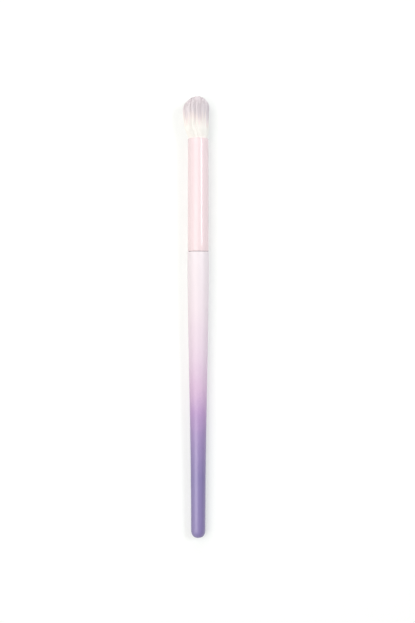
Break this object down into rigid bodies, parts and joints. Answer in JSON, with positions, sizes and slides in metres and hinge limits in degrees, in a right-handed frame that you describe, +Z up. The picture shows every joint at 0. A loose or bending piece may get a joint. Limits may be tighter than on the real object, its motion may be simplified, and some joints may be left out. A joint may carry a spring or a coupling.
{
  "type": "makeup brush",
  "caption": "Round makeup brush with a short domed tuft of soft hair, a plain lacquered metal ferrule and a long turned handle that tapers to a rounded butt.",
  "frame": {"origin": "on the table plane, under the middle of the brush's length and width as it lies; the brush's own axis runs 0.72 mm to the +X side, because the tuft leans to -X", "axes": "+Y along the brush from butt to tuft, +Z up from the table, +X to the right seen from above with the tuft up; the brush's own axis rises 0.8 degrees towards the tuft, as it lies on butt and belly"},
  "size_m": [0.0102, 0.1683, 0.0098],
  "materials": {
    "handle_lacquer": "turned wood under satin lacquer that fades from pale pink at the ferrule to lilac purple at the butt",
    "ferrule_metal": "drawn aluminium under glossy pale pink lacquer",
    "hair": "soft synthetic filament, cream at the root and lilac grey at the tips",
    "thread": "waxed cotton thread",
    "epoxy": "cured amber epoxy",
    "adhesive": "cured white wood adhesive"
  },
  "bodies": {
    "root": {"handle": "handle_lacquer", "ferrule": "ferrule_metal", "hair_tuft": "hair", "hair_tie_thread": "thread", "glue_plug": "epoxy", "tenon_glue": "adhesive"}
  },
  "joints": []
}
